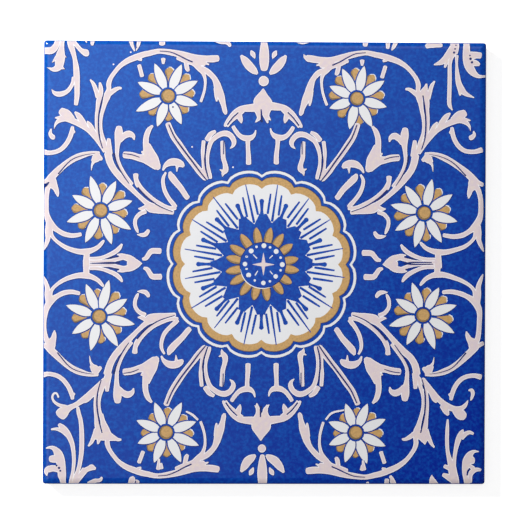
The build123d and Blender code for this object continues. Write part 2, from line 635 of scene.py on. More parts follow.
SCROLLS = (
    # the arch over the daisy and down its left side
    ((-28.0, 51.05, 1.3), (-29.8, 50.65, 1.4), (-31.6, 50.0, 1.5), (-33.6, 49.15, 1.35),
     (-35.4, 47.9, 1.1), (-36.8, 46.3, 1.0), (-37.8, 44.8, 1.05), (-38.25, 43.4, 1.2),
     (-38.2, 42.2, 1.1), (-38.6, 40.6, 1.7), (-39.1, 39.0, 1.2), (-39.6, 37.3, 0.95),
     (-40.05, 35.5, 0.85), (-40.2, 33.7, 0.8), (-40.05, 31.9, 0.8), (-39.6, 30.2, 0.9),
     (-39.0, 28.3, 0.9), (-38.4, 26.5, 1.0)),
    ((-31.0, 49.6, 0.8), (-30.3, 49.35, 0.6)),
    ((-38.2, 41.0, 1.3), (-36.9, 41.9, 1.1), (-35.9, 42.4, 0.8), (-35.2, 42.4, 0.5)),
    ((-30.85, 48.0, 0.95), (-30.15, 45.4, 0.95)),
    # the twin stem beside it
    ((-42.7, 44.4, 0.4), (-41.9, 43.3, 0.9), (-41.2, 41.5, 1.1), (-40.8, 40.3, 1.3)),
    ((-40.4, 43.7, 0.5), (-40.2, 42.6, 1.0), (-40.2, 41.2, 1.2), (-40.6, 39.3, 1.35),
     (-40.9, 37.4, 1.0), (-41.1, 35.6, 0.95), (-41.15, 33.7, 0.85), (-41.0, 32.0, 0.8),
     (-40.6, 30.2, 1.1)),
    ((-54.3, 26.9, 1.3), (-52.5, 26.6, 1.05), (-50.4, 27.1, 1.05), (-48.9, 28.3, 1.1),
     (-47.8, 30.0, 1.1), (-47.2, 31.7, 1.1), (-47.0, 32.9, 0.8)),
    ((-47.1, 32.2, 0.9), (-46.6, 31.6, 0.7)),
    # columns below the arch
    ((-39.7, 31.0, 0.4), (-39.3, 29.5, 0.9), (-38.9, 27.5, 1.0)),
    ((-38.2, 30.0, 0.9), (-38.2, 28.5, 1.3), (-38.0, 26.5, 1.5)),
    ((-35.7, 32.9, 1.4), (-35.75, 31.6, 2.0), (-35.9, 30.0, 1.7), (-36.1, 28.2, 1.1),
     (-36.2, 26.0, 0.9)),
    ((-35.5, 29.7, 1.2), (-34.5, 30.8, 1.5), (-33.3, 31.3, 1.6), (-32.3, 30.8, 1.1),
     (-32.0, 29.9, 0.3)),
    ((-27.6, 33.3, 0.6), (-28.5, 32.2, 1.2), (-29.1, 30.4, 1.35), (-29.1, 28.3, 1.5),
     (-28.6, 26.3, 2.0)),
    # the arch's right half, its club, its stems
    ((-28.0, 51.1, 1.3), (-25.7, 51.5, 1.2), (-22.5, 51.1, 1.5), (-20.0, 50.6, 1.6),
     (-17.3, 50.0, 1.5), (-14.8, 49.7, 1.6), (-13.0, 49.7, 1.7), (-11.7, 49.85, 1.5)),
    ((-21.5, 49.9, 1.0), (-19.5, 49.2, 1.3), (-17.5, 48.7, 1.6), (-16.2, 47.5, 1.6),
     (-15.2, 46.1, 1.0), (-14.75, 44.3, 0.65), (-14.9, 42.3, 0.6), (-15.35, 40.6, 0.65),
     (-15.8, 39.3, 0.65)),
    ((-18.0, 49.6, 1.6), (-16.0, 49.0, 2.0), (-14.9, 48.6, 1.4)),
    ((-19.5, 48.9, 1.0), (-19.2, 47.4, 1.1), (-18.9, 46.8, 0.8)),
    ((-14.6, 48.6, 0.6), (-13.9, 48.3, 0.3)),
    ((-15.6, 47.4, 1.3), (-14.0, 46.4, 1.4), (-12.6, 45.0, 1.3), (-11.9, 43.5, 1.7),
     (-11.5, 42.0, 2.0), (-10.9, 40.5, 1.8), (-10.3, 38.5, 1.2), (-9.9, 36.9, 1.1),
     (-9.7, 36.3, 0.6)),
    ((-12.2, 42.5, 1.0), (-12.0, 40.5, 0.9), (-11.95, 39.4, 0.4)),
    ((-25.0, 49.6, 1.1), (-25.0, 48.5, 0.6)),
    # the top palmette, its half
    ((-6.0, 50.5, 0.6), (-5.2, 49.5, 1.7), (-4.1, 48.1, 2.1), (-2.9, 46.9, 1.7), (-2.1, 46.2, 0.7)),
    ((-3.6, 51.7, 0.4), (-3.2, 51.0, 1.2), (-2.8, 50.2, 0.6), (-2.7, 49.8, 0.1)),
    ((-0.75, 42.4, 0.2), (-0.7, 41.0, 2.2), (-0.6, 39.5, 4.2), (-0.6, 38.6, 4.4)),
    ((-0.6, 38.5, 2.0), (-2.6, 37.9, 2.0), (-4.6, 37.7, 1.7), (-6.2, 37.5, 1.3),
     (-7.7, 36.6, 1.0), (-8.9, 35.2, 0.8), (-9.7, 33.9, 0.7), (-9.9, 33.3, 0.6)),
    ((-5.6, 37.1, 1.2), (-7.3, 35.6, 1.1), (-8.5, 34.4, 0.8), (-9.3, 33.3, 0.6)),
    ((-6.6, 36.2, 1.6), (-6.1, 34.9, 1.1), (-5.9, 34.1, 0.3)),
    ((-2.4, 37.8, 1.6), (-1.7, 36.6, 1.5), (-1.6, 35.4, 1.1), (-2.2, 34.6, 0.5), (-2.5, 34.3, 0.1)),
    ((-0.3, 38.0, 2.0), (-0.2, 36.6, 1.5), (0.2, 35.3, 1.0), (0.5, 34.2, 0.4)),
    ((-7.9, 33.2, 0.9), (-7.3, 32.2, 1.0), (-6.3, 31.0, 1.1), (-5.0, 30.4, 1.4),
     (-3.6, 30.5, 1.3), (-2.7, 31.3, 0.7), (-2.4, 32.3, 0.3)),
    ((-4.3, 30.0, 1.2), (-4.3, 28.5, 1.0), (-4.15, 26.0, 1.15), (-4.1, 24.2, 1.25)),
    # the crook beside it
    ((-15.1, 29.6, 0.9), (-15.3, 27.0, 0.9), (-15.2, 25.0, 0.8), (-15.0, 23.0, 0.9),
     (-14.5, 21.2, 1.0), (-14.1, 20.5, 0.7)),
    ((-13.4, 20.6, 0.7), (-13.5, 21.2, 0.9), (-13.9, 22.8, 0.9), (-14.1, 24.5, 0.7),
     (-14.1, 26.5, 0.9), (-13.8, 28.0, 1.0), (-13.2, 29.6, 1.1), (-12.2, 30.6, 1.2),
     (-10.8, 31.4, 1.3), (-9.4, 31.5, 1.4), (-8.3, 30.8, 1.3), (-7.7, 29.6, 1.2),
     (-7.9, 28.6, 0.8), (-8.6, 27.9, 0.2)),
    ((-14.3, 30.0, 1.2), (-13.4, 31.3, 1.2), (-12.3, 32.0, 0.8)),
    ((-10.5, 29.5, 1.0), (-10.4, 27.5, 1.1), (-10.3, 25.6, 1.1), (-9.9, 24.2, 1.1),
     (-9.7, 23.2, 1.3), (-9.8, 22.5, 1.4), (-10.3, 21.8, 0.9), (-10.5, 21.0, 0.1)),
    ((-10.1, 22.2, 0.9), (-11.1, 22.7, 0.2)),
    # the stem under the daisy
    ((-23.8, 33.8, 1.3), (-22.6, 31.0, 1.5), (-21.1, 28.9, 1.6), (-19.3, 26.3, 1.5),
     (-17.6, 24.2, 1.5), (-16.1, 22.3, 1.6), (-14.9, 20.7, 1.1), (-14.5, 20.3, 0.7)),
    ((-16.0, 22.8, 0.6), (-15.2, 22.2, 1.4), (-14.6, 21.0, 1.0)),
    # the arch round the side daisy
    ((-40.6, 26.5, 1.0), (-42.5, 26.55, 1.0), (-45.0, 25.9, 1.5), (-47.0, 25.0, 1.5),
     (-49.0, 23.6, 1.5), (-50.8, 22.0, 1.7), (-52.2, 20.6, 1.7), (-53.2, 19.8, 1.2),
     (-54.3, 19.3, 1.0)),
    ((-41.2, 26.4, 1.2), (-41.2, 25.5, 2.2), (-42.0, 24.6, 1.1)),
    ((-40.8, 25.7, 1.6), (-39.9, 25.1, 0.8)),
    ((-41.6, 24.8, 1.0), (-42.2, 23.8, 0.5), (-42.4, 22.4, 0.1)),
    ((-52.2, 20.4, 2.2), (-51.9, 19.2, 2.4), (-51.1, 18.0, 1.4), (-50.7, 16.9, 1.0),
     (-50.5, 16.0, 0.3)),
    ((-52.2, 19.6, 1.8), (-53.0, 18.0, 1.3), (-53.3, 16.0, 1.2), (-53.35, 14.0, 1.2),
     (-53.3, 12.0, 1.3), (-52.9, 10.5, 1.6), (-52.0, 9.0, 1.7), (-50.6, 7.8, 1.2),
     (-49.0, 6.9, 1.2), (-47.2, 6.5, 1.1), (-45.8, 6.6, 1.0), (-44.9, 6.8, 0.9)),
    ((-52.4, 8.8, 1.6), (-52.1, 6.8, 1.0), (-51.1, 5.4, 0.8), (-49.4, 4.1, 0.95),
     (-47.6, 3.2, 1.1), (-45.4, 2.6, 1.3), (-43.5, 2.6, 1.5), (-42.0, 3.0, 1.2),
     (-40.6, 3.8, 1.0), (-39.7, 4.8, 0.8), (-39.3, 5.3, 0.5)),
    ((-52.6, 9.5, 1.6), (-52.9, 7.5, 1.5), (-52.9, 5.8, 1.2), (-53.4, 4.2, 0.9),
     (-53.9, 3.0, 0.3)),
    # the side palmette, its half
    ((-43.4, 2.6, 1.4), (-43.5, 1.0, 1.5), (-43.5, -1.0, 1.7)),
    ((-42.6, 0.9, 0.8), (-41.0, 0.9, 0.9), (-39.5, 1.2, 0.9), (-38.0, 1.8, 1.0),
     (-36.5, 2.6, 1.1), (-35.5, 3.5, 1.0), (-34.9, 4.4, 0.5)),
    ((-42.6, 0.2, 0.8), (-40.0, 0.25, 0.8), (-37.5, 0.4, 0.9), (-35.8, 0.9, 1.1),
     (-34.5, 1.3, 1.4), (-33.0, 0.9, 1.7), (-31.8, 0.2, 1.5), (-31.0, -0.2, 1.0),
     (-30.5, -0.3, 0.4)),
    ((-36.0, 1.9, 0.3), (-35.0, 1.8, 0.8), (-34.0, 1.5, 1.0)),
    ((-33.3, -0.3, 1.5), (-32.0, -0.3, 2.2), (-31.0, -0.3, 1.2), (-30.4, -0.3, 0.3)),
    # the trunk between the two daisies
    ((-38.4, 26.5, 1.8), (-37.9, 24.5, 1.7), (-36.9, 22.6, 1.6), (-35.5, 20.9, 1.6),
     (-33.9, 19.2, 1.5), (-32.2, 17.5, 1.2), (-30.5, 15.9, 1.1), (-28.8, 14.4, 1.3),
     (-27.4, 13.6, 1.6)),
    ((-36.2, 26.0, 0.9), (-35.9, 24.6, 0.9), (-35.0, 22.6, 0.9), (-33.8, 20.7, 0.9),
     (-32.5, 19.1, 0.8)),
    ((-31.6, 21.4, 1.3), (-31.5, 20.2, 1.1), (-31.1, 19.1, 1.3), (-30.2, 17.9, 1.2),
     (-28.8, 16.5, 1.2), (-27.3, 15.3, 1.1), (-25.8, 14.4, 1.0), (-24.2, 13.6, 0.9),
     (-22.8, 13.2, 1.0), (-22.0, 13.4, 1.2)),
    ((-29.2, 14.0, 0.8), (-28.3, 13.4, 2.0), (-27.2, 13.2, 2.3), (-25.8, 12.8, 1.8),
     (-24.3, 12.5, 1.3), (-22.5, 12.2, 1.0)),
    ((-29.0, 13.6, 1.0), (-30.0, 13.1, 1.0), (-30.9, 13.1, 0.3)),
    ((-29.2, 12.4, 1.0), (-30.6, 11.8, 1.0), (-31.6, 10.6, 0.9), (-31.7, 9.2, 0.9),
     (-31.3, 8.0, 0.8), (-31.0, 7.3, 0.4)),
    ((-31.2, 6.8, 0.2), (-30.3, 6.7, 0.8), (-29.3, 6.8, 1.1), (-28.7, 7.4, 1.0),
     (-28.5, 7.9, 0.7)),
    # the leaf above it
    ((-34.4, 26.2, 1.6), (-32.5, 26.0, 1.7), (-30.8, 25.5, 1.7), (-29.0, 25.2, 2.4),
     (-27.3, 24.2, 2.4), (-26.4, 23.4, 2.0), (-26.0, 22.9, 1.0)),
    ((-28.9, 28.6, 1.8), (-28.6, 27.4, 2.5), (-28.2, 26.2, 3.0), (-27.4, 25.0, 2.9),
     (-26.6, 24.0, 2.0), (-26.0, 23.3, 1.0)),
    ((-29.8, 26.8, 0.9), (-30.2, 27.0, 0.3)),
    # the cap, the crescent and the bar beside the rosette
    ((-25.0, 22.5, 0.4), (-24.4, 23.6, 1.0), (-23.2, 24.4, 1.7), (-21.8, 24.5, 1.8),
     (-20.6, 24.0, 1.6), (-20.0, 23.5, 0.8)),
    ((-21.5, 23.8, 0.9), (-21.6, 22.2, 0.2)),
    ((-24.3, 21.9, 0.5), (-24.9, 20.6, 0.8), (-24.9, 19.0, 0.9), (-24.4, 17.2, 1.0),
     (-23.5, 15.6, 1.0), (-22.4, 14.2, 1.1), (-21.9, 13.6, 1.0)),
    ((-23.3, 22.0, 0.7), (-22.9, 21.0, 1.6), (-22.0, 19.8, 1.6), (-20.5, 18.0, 1.4),
     (-19.3, 16.2, 1.3), (-18.9, 15.8, 1.2)),
    ((-29.8, 0.8, 0.7), (-29.0, 1.1, 1.1), (-28.3, 2.1, 1.2), (-27.6, 2.8, 1.35),
     (-25.6, 2.8, 1.4)),
)
VEINS = (
    ((-39.5, 40.9, 0.3), (-40.1, 38.6, 0.35), (-40.55, 36.3, 0.4), (-40.7, 34.0, 0.4),
     (-40.6, 31.8, 0.4), (-40.3, 29.8, 0.3), (-39.7, 27.8, 0.25)),
    ((-25.8, 51.5, 0.2), (-23.4, 51.3, 0.25), (-21.5, 50.6, 0.3), (-19.7, 49.7, 0.35),
     (-17.9, 48.9, 0.35)),
    ((-6.7, 36.6, 0.3), (-8.0, 35.4, 0.35), (-9.3, 33.7, 0.35)),
    ((-14.3, 29.1, 0.35), (-14.6, 27.0, 0.4), (-14.8, 25.0, 0.4), (-14.5, 22.8, 0.4),
     (-13.9, 20.6, 0.3)),
    ((-10.15, 29.7, 0.3), (-10.2, 26.5, 0.25)),
    ((-23.6, 33.6, 0.3), (-22.2, 30.6, 0.35), (-20.3, 27.9, 0.4), (-17.8, 24.6, 0.4),
     (-16.0, 22.2, 0.35), (-14.4, 20.2, 0.3)),
    ((-41.5, 26.5, 0.1), (-44.5, 26.0, 0.2), (-47.5, 24.7, 0.25), (-50.4, 21.5, 0.35)),
    ((-36.9, 26.5, 0.6), (-36.5, 24.9, 0.4), (-35.7, 23.0, 0.35), (-34.5, 21.0, 0.3),
     (-33.2, 19.2, 0.2)),
    ((-31.1, 18.2, 0.4), (-29.4, 16.4, 0.4), (-28.0, 15.2, 0.35), (-26.3, 14.0, 0.3),
     (-24.5, 13.1, 0.25), (-22.6, 12.4, 0.2)),
    ((-42.1, -0.25, 0.25), (-38.0, -0.25, 0.35), (-35.5, -0.2, 0.35)),
    ((-38.3, 0.9, 0.1), (-37.0, 1.2, 0.4), (-35.7, 1.5, 0.4)),
    ((-34.6, 26.5, 0.2), (-32.5, 26.2, 0.25), (-30.7, 25.6, 0.2)),
)


# The big leaf that both top quarters share

TOP_LEAF = (
    ((-39.0, 27.2, 1.4), (-40.0, 28.8, 1.5), (-41.3, 30.4, 1.4), (-43.1, 32.2, 1.3),
     (-45.0, 33.4, 1.3), (-46.9, 34.4, 1.5), (-48.7, 34.9, 1.3), (-50.2, 34.5, 1.1),
     (-51.1, 33.6, 0.6), (-51.5, 32.3, 0.0)),
    ((-47.2, 34.8, 1.8), (-48.6, 36.0, 2.4), (-49.8, 36.8, 1.7)),
    ((-49.6, 35.2, 1.2), (-51.2, 35.1, 0.3)),
    ((-46.4, 36.5, 0.5), (-45.6, 35.7, 1.3), (-44.6, 34.2, 1.5), (-43.8, 33.0, 1.2)),
    ((-43.4, 34.3, 0.4), (-42.8, 33.4, 1.1), (-42.0, 32.0, 1.2), (-41.3, 31.0, 1.0)),
    ((-52.2, 32.4, 0.3), (-52.4, 31.3, 0.9), (-51.9, 30.5, 1.2), (-51.5, 30.4, 1.1)),
)

# Marks that only one quarter has: the clusters in the corners and the bits that the edges cut

CORNERS = (
    # top left
    ((-50.6, 54.3, 1.3), (-51.1, 52.6, 1.5), (-52.2, 51.5, 1.7), (-54.2, 51.5, 1.5)),
    ((-49.5, 54.3, 0.9), (-49.7, 52.3, 1.2), (-50.0, 50.3, 2.2), (-50.2, 48.6, 2.2),
     (-50.6, 47.4, 1.8), (-51.8, 46.9, 1.0), (-53.3, 47.4, 0.0)),
    ((-50.8, 49.8, 1.2), (-52.0, 48.6, 0.1)),
    ((-49.3, 50.3, 0.8), (-48.5, 49.8, 0.0)),
    ((-49.6, 47.3, 0.8), (-48.9, 47.0, 0.0)),
    ((-47.7, 54.3, 1.7), (-47.4, 52.6, 1.5), (-46.9, 51.0, 1.2), (-46.5, 49.4, 1.05),
     (-46.2, 47.5, 1.35), (-46.05, 45.4, 1.5), (-45.95, 43.0, 1.3), (-45.95, 40.5, 1.2),
     (-46.2, 38.4, 0.95)),
    ((-47.0, 53.8, 1.2), (-46.0, 52.7, 1.0), (-45.0, 51.6, 1.1), (-43.9, 51.0, 1.7),
     (-43.45, 51.0, 1.6)),
    ((-46.7, 44.9, 1.0), (-47.1, 43.3, 0.9), (-48.3, 41.6, 1.0), (-50.0, 40.9, 1.25),
     (-51.3, 41.1, 1.0), (-52.1, 42.0, 0.1)),
    ((-42.2, 54.3, 1.1), (-42.3, 53.4, 0.9), (-42.3, 52.9, 0.6)),
    ((-44.0, 54.1, 0.5), (-43.7, 53.6, 0.3)),
    ((-33.0, 54.3, 1.0), (-32.6, 52.9, 0.8), (-32.0, 51.5, 0.3)),
    ((-30.9, 54.3, 1.0), (-31.1, 53.0, 0.8), (-31.6, 51.6, 0.2)),
    ((-25.3, 54.3, 1.4), (-25.3, 53.2, 1.4)),
    ((-12.5, 54.3, 0.8), (-11.0, 53.9, 1.0), (-9.6, 53.8, 1.1), (-8.9, 53.2, 0.9),
     (-8.8, 52.8, 0.6)),
    # top right
    ((46.3, 54.3, 2.1), (46.2, 52.8, 2.1), (46.0, 51.6, 2.0)),
    ((46.0, 52.0, 2.0), (45.3, 50.2, 1.1), (45.0, 48.5, 0.95), (45.0, 45.5, 1.0),
     (44.95, 42.0, 1.0), (44.9, 39.5, 1.0), (45.1, 38.5, 0.9), (45.7, 37.5, 0.2)),
    ((45.6, 53.0, 1.2), (44.7, 51.2, 1.6), (43.9, 50.0, 1.6), (42.9, 49.2, 1.3),
     (41.2, 48.6, 0.3)),
    ((44.4, 49.6, 1.0), (43.8, 48.0, 0.5)),
    ((46.7, 50.8, 0.9), (46.7, 48.8, 0.6), (46.85, 46.5, 1.0), (47.2, 44.2, 1.4),
     (47.9, 42.6, 1.6), (49.0, 41.5, 1.1), (51.0, 40.6, 0.2)),
    ((47.5, 42.8, 1.2), (47.6, 41.2, 0.5)),
    ((49.2, 54.3, 1.4), (49.1, 52.2, 1.7), (49.2, 50.2, 2.0), (49.7, 48.4, 2.2),
     (50.6, 46.9, 1.8), (51.9, 45.9, 1.0), (53.2, 45.8, 0.6), (54.3, 46.0, 0.5)),
    ((49.8, 50.8, 2.2), (51.5, 51.0, 1.6), (52.5, 50.9, 1.5)),
    ((50.2, 49.2, 1.8), (51.5, 49.0, 1.4), (52.2, 48.7, 0.8)),
    ((39.3, 53.0, 1.0), (40.2, 53.5, 1.6), (41.6, 53.6, 1.6), (43.0, 53.4, 1.0)),
    ((38.9, 43.0, 0.8), (38.8, 41.7, 2.4), (38.6, 40.8, 1.6)),
    ((29.9, 54.3, 1.2), (29.8, 52.6, 0.8)),
    ((32.0, 54.3, 1.0), (31.3, 53.0, 0.9), (30.8, 52.1, 0.3)),
    ((24.4, 54.3, 1.3), (24.3, 53.2, 1.1)),
    ((-0.45, 54.3, 1.3), (-0.4, 52.5, 2.0), (-0.4, 50.5, 2.4), (-0.4, 48.5, 2.2),
     (-0.4, 47.2, 1.6)),
    ((9.25, 50.9, 0.15), (9.7, 50.2, 0.9), (10.6, 49.7, 1.4)),
    ((7.2, 54.5, 1.0), (9.0, 54.3, 1.7), (10.9, 54.5, 1.0)),
    # bottom left
    ((-38.8, -29.0, 2.0), (-41.3, -31.3, 2.0), (-43.6, -33.1, 1.6), (-45.8, -34.6, 1.2),
     (-47.6, -35.5, 1.5), (-48.9, -36.4, 2.7), (-49.7, -37.2, 2.8)),
    ((-42.3, -32.3, 1.5), (-43.3, -33.4, 1.3), (-44.0, -33.9, 0.9)),
    ((-48.4, -35.2, 0.9), (-50.0, -34.8, 0.8), (-51.2, -34.0, 0.6), (-51.7, -32.9, 0.5),
     (-51.3, -32.0, 0.5), (-50.6, -32.0, 0.45), (-50.2, -32.9, 0.4)),
    ((-25.7, -47.9, 0.5), (-25.9, -50.3, 1.0)),
    ((-45.5, -35.3, 0.7), (-45.3, -36.6, 0.95), (-44.8, -38.5, 1.0), (-44.55, -41.0, 1.1),
     (-44.5, -44.0, 1.15), (-44.6, -46.5, 1.1), (-44.95, -49.0, 1.0), (-45.4, -50.8, 1.0),
     (-46.0, -52.4, 1.2), (-46.5, -54.3, 1.4)),
    ((-50.0, -39.5, 0.8), (-49.2, -40.3, 1.5), (-48.2, -41.4, 1.5), (-47.4, -42.8, 1.3),
     (-46.8, -44.4, 1.1), (-46.5, -46.3, 0.95), (-46.4, -48.5, 0.85), (-46.6, -50.8, 0.8),
     (-47.0, -52.8, 0.9), (-47.3, -54.3, 1.0)),
    ((-51.9, -40.7, 0.4), (-50.8, -40.6, 0.7), (-49.8, -40.8, 1.0), (-48.8, -41.3, 1.2),
     (-48.0, -42.2, 1.0)),
    ((-39.7, -37.0, 0.8), (-39.4, -38.7, 1.2), (-38.9, -40.4, 1.9), (-38.4, -42.2, 2.5)),
    ((-41.2, -42.3, 1.7), (-39.5, -42.4, 2.0), (-37.5, -42.6, 1.8), (-36.2, -43.0, 1.0)),
    ((-53.2, -45.3, 0.2), (-52.2, -45.1, 0.7), (-51.2, -45.4, 1.2), (-50.3, -46.5, 2.0),
     (-49.8, -48.0, 2.3), (-49.4, -49.9, 2.0), (-49.3, -51.8, 2.0), (-49.1, -53.0, 1.5),
     (-49.0, -54.3, 1.2)),
    ((-50.0, -47.9, 1.8), (-51.4, -47.9, 1.8), (-52.1, -47.9, 1.5)),
    ((-49.6, -50.6, 1.6), (-51.2, -50.2, 1.5), (-52.5, -50.4, 1.6), (-53.1, -51.0, 1.2),
     (-53.0, -51.9, 0.4)),
    ((-46.2, -53.9, 1.3), (-45.0, -52.2, 1.5), (-44.0, -51.0, 1.5), (-43.3, -50.5, 1.2),
     (-42.2, -50.1, 1.2), (-41.2, -50.2, 0.7)),
    ((-43.2, -50.6, 1.0), (-42.2, -49.8, 1.1), (-41.6, -49.9, 0.8)),
    ((-44.2, -50.9, 1.2), (-44.0, -50.3, 0.9)),
    ((-39.6, -52.4, 0.5), (-40.1, -53.1, 0.9), (-41.4, -53.3, 1.1), (-42.6, -54.2, 1.6)),
    ((-32.6, -54.3, 1.4), (-32.2, -52.9, 1.5), (-31.9, -52.4, 0.9)),
    ((-31.5, -54.3, 1.5), (-31.0, -53.3, 1.2)),
    ((-19.1, -36.3, 0.4), (-17.6, -37.1, 0.55), (-16.3, -38.3, 0.5)),
    # bottom right
    ((38.6, -28.4, 1.3), (40.8, -31.3, 1.6), (42.6, -33.2, 1.3), (44.6, -34.8, 1.5),
     (46.6, -35.6, 1.4), (48.2, -35.4, 1.2), (49.2, -34.6, 0.9), (49.8, -33.5, 0.2)),
    ((41.0, -31.8, 1.4), (41.6, -33.2, 1.2), (42.1, -33.8, 0.8)),
    ((43.8, -34.8, 1.9), (44.5, -36.2, 1.5), (44.9, -37.0, 0.7)),
    ((46.6, -35.9, 1.6), (47.5, -36.6, 2.4), (48.3, -37.1, 2.5), (48.9, -37.4, 1.9)),
    ((50.0, -31.0, 0.4), (50.7, -31.0, 0.9), (51.0, -31.8, 0.9), (50.7, -32.9, 0.6),
     (50.45, -33.5, 0.2)),
    ((24.1, -48.3, 0.5), (24.4, -50.4, 1.0)),
    ((44.85, -38.2, 0.45), (44.75, -40.5, 0.85), (44.7, -43.5, 0.9), (44.85, -45.8, 0.9),
     (45.3, -47.8, 1.2), (45.9, -49.5, 1.9), (46.2, -51.3, 2.1), (46.6, -52.8, 2.1),
     (47.0, -54.3, 1.7)),
    ((48.6, -40.7, 0.4), (48.2, -41.5, 1.2), (47.5, -43.0, 1.35), (46.95, -45.0, 1.05),
     (46.6, -47.0, 0.9), (46.4, -49.0, 1.0), (46.4, -51.0, 1.2)),
    ((51.1, -41.6, 0.6), (50.2, -41.3, 0.9), (49.2, -41.7, 1.1), (48.3, -42.6, 1.2)),
    ((44.1, -49.6, 0.9), (45.2, -50.0, 1.2)),
    ((43.8, -51.7, 0.9), (45.0, -52.2, 1.5), (46.2, -52.9, 1.8)),
    ((38.9, -40.4, 0.9), (38.5, -41.6, 2.2), (39.0, -43.0, 1.8), (39.3, -43.7, 1.0)),
    ((37.0, -42.1, 1.6), (38.4, -42.3, 1.8), (39.8, -42.8, 1.6)),
    ((52.5, -46.0, 0.2), (51.3, -46.0, 0.8), (50.3, -46.8, 1.6), (49.7, -48.2, 2.2),
     (49.3, -49.8, 1.8), (49.1, -51.4, 1.2), (49.5, -52.8, 1.4), (49.8, -54.3, 1.4)),
    ((49.9, -48.2, 1.8), (51.1, -48.1, 1.8)),
    ((50.4, -53.5, 1.0), (50.4, -52.0, 1.1), (50.9, -50.9, 1.3), (52.0, -50.4, 1.0),
     (53.0, -50.5, 0.6)),
    ((50.0, -49.3, 1.0), (51.2, -50.1, 1.0)),
    ((41.0, -51.8, 0.2), (41.1, -52.9, 1.4), (41.6, -54.3, 2.3)),
    ((30.0, -54.3, 1.2), (30.0, -52.9, 1.1)),
    ((31.9, -54.3, 1.2), (31.2, -52.9, 1.2), (30.9, -52.0, 0.6)),
    ((15.0, -38.2, 0.45), (16.5, -36.6, 0.5), (19.4, -35.9, 0.35)),
    ((25.3, -54.3, 1.0), (25.3, -53.6, 0.6)),
    ((-0.5, -47.0, 1.0), (-0.5, -49.0, 1.9), (-0.5, -51.5, 2.4), (-0.4, -54.3, 2.0)),
)
SCROLL_BALLS = ((-0.5, 44.35, 1.25), (-0.6, -45.3, 1.0))
CORNER_VEINS = (
    ((-31.9, 54.2, 0.3), (-31.5, 52.2, 0.2)),
    ((-54.2, 18.5, 1.2), (-53.4, 18.8, 0.8), (-52.7, 19.4, 0.3)),
    ((-1.1, 37.4, 0.3), (-1.0, 35.9, 0.45), (-0.95, 34.4, 0.6)),
    ((-1.0, -37.6, 0.3), (-0.95, -36.4, 0.45), (-0.9, -35.0, 0.6)),
    ((50.3, -50.1, 0.3), (49.8, -50.8, 0.35), (49.65, -51.8, 0.3)),
    ((30.65, -54.2, 0.3), (30.65, -52.6, 0.25)),
    ((-31.5, -54.2, 0.3), (-31.4, -53.2, 0.25)),
)
PALE_SPECKS = ((-32.9, 51.2), (-37.1, 48.2), (-17.9, 28.2), (-7.9, 23.3))
INK_DOTS = (
    (46.55, 53.4, 0.2), (46.3, 52.5, 0.22), (46.05, 51.6, 0.28),
    (49.95, 50.9, 0.2), (50.1, 50.1, 0.32), (50.45, 49.25, 0.3), (-22.6, 37.9, 0.22),
    (-50.6, -49.5, 0.25), (-50.0, -50.1, 0.3), (-49.7, -50.8, 0.25),
)
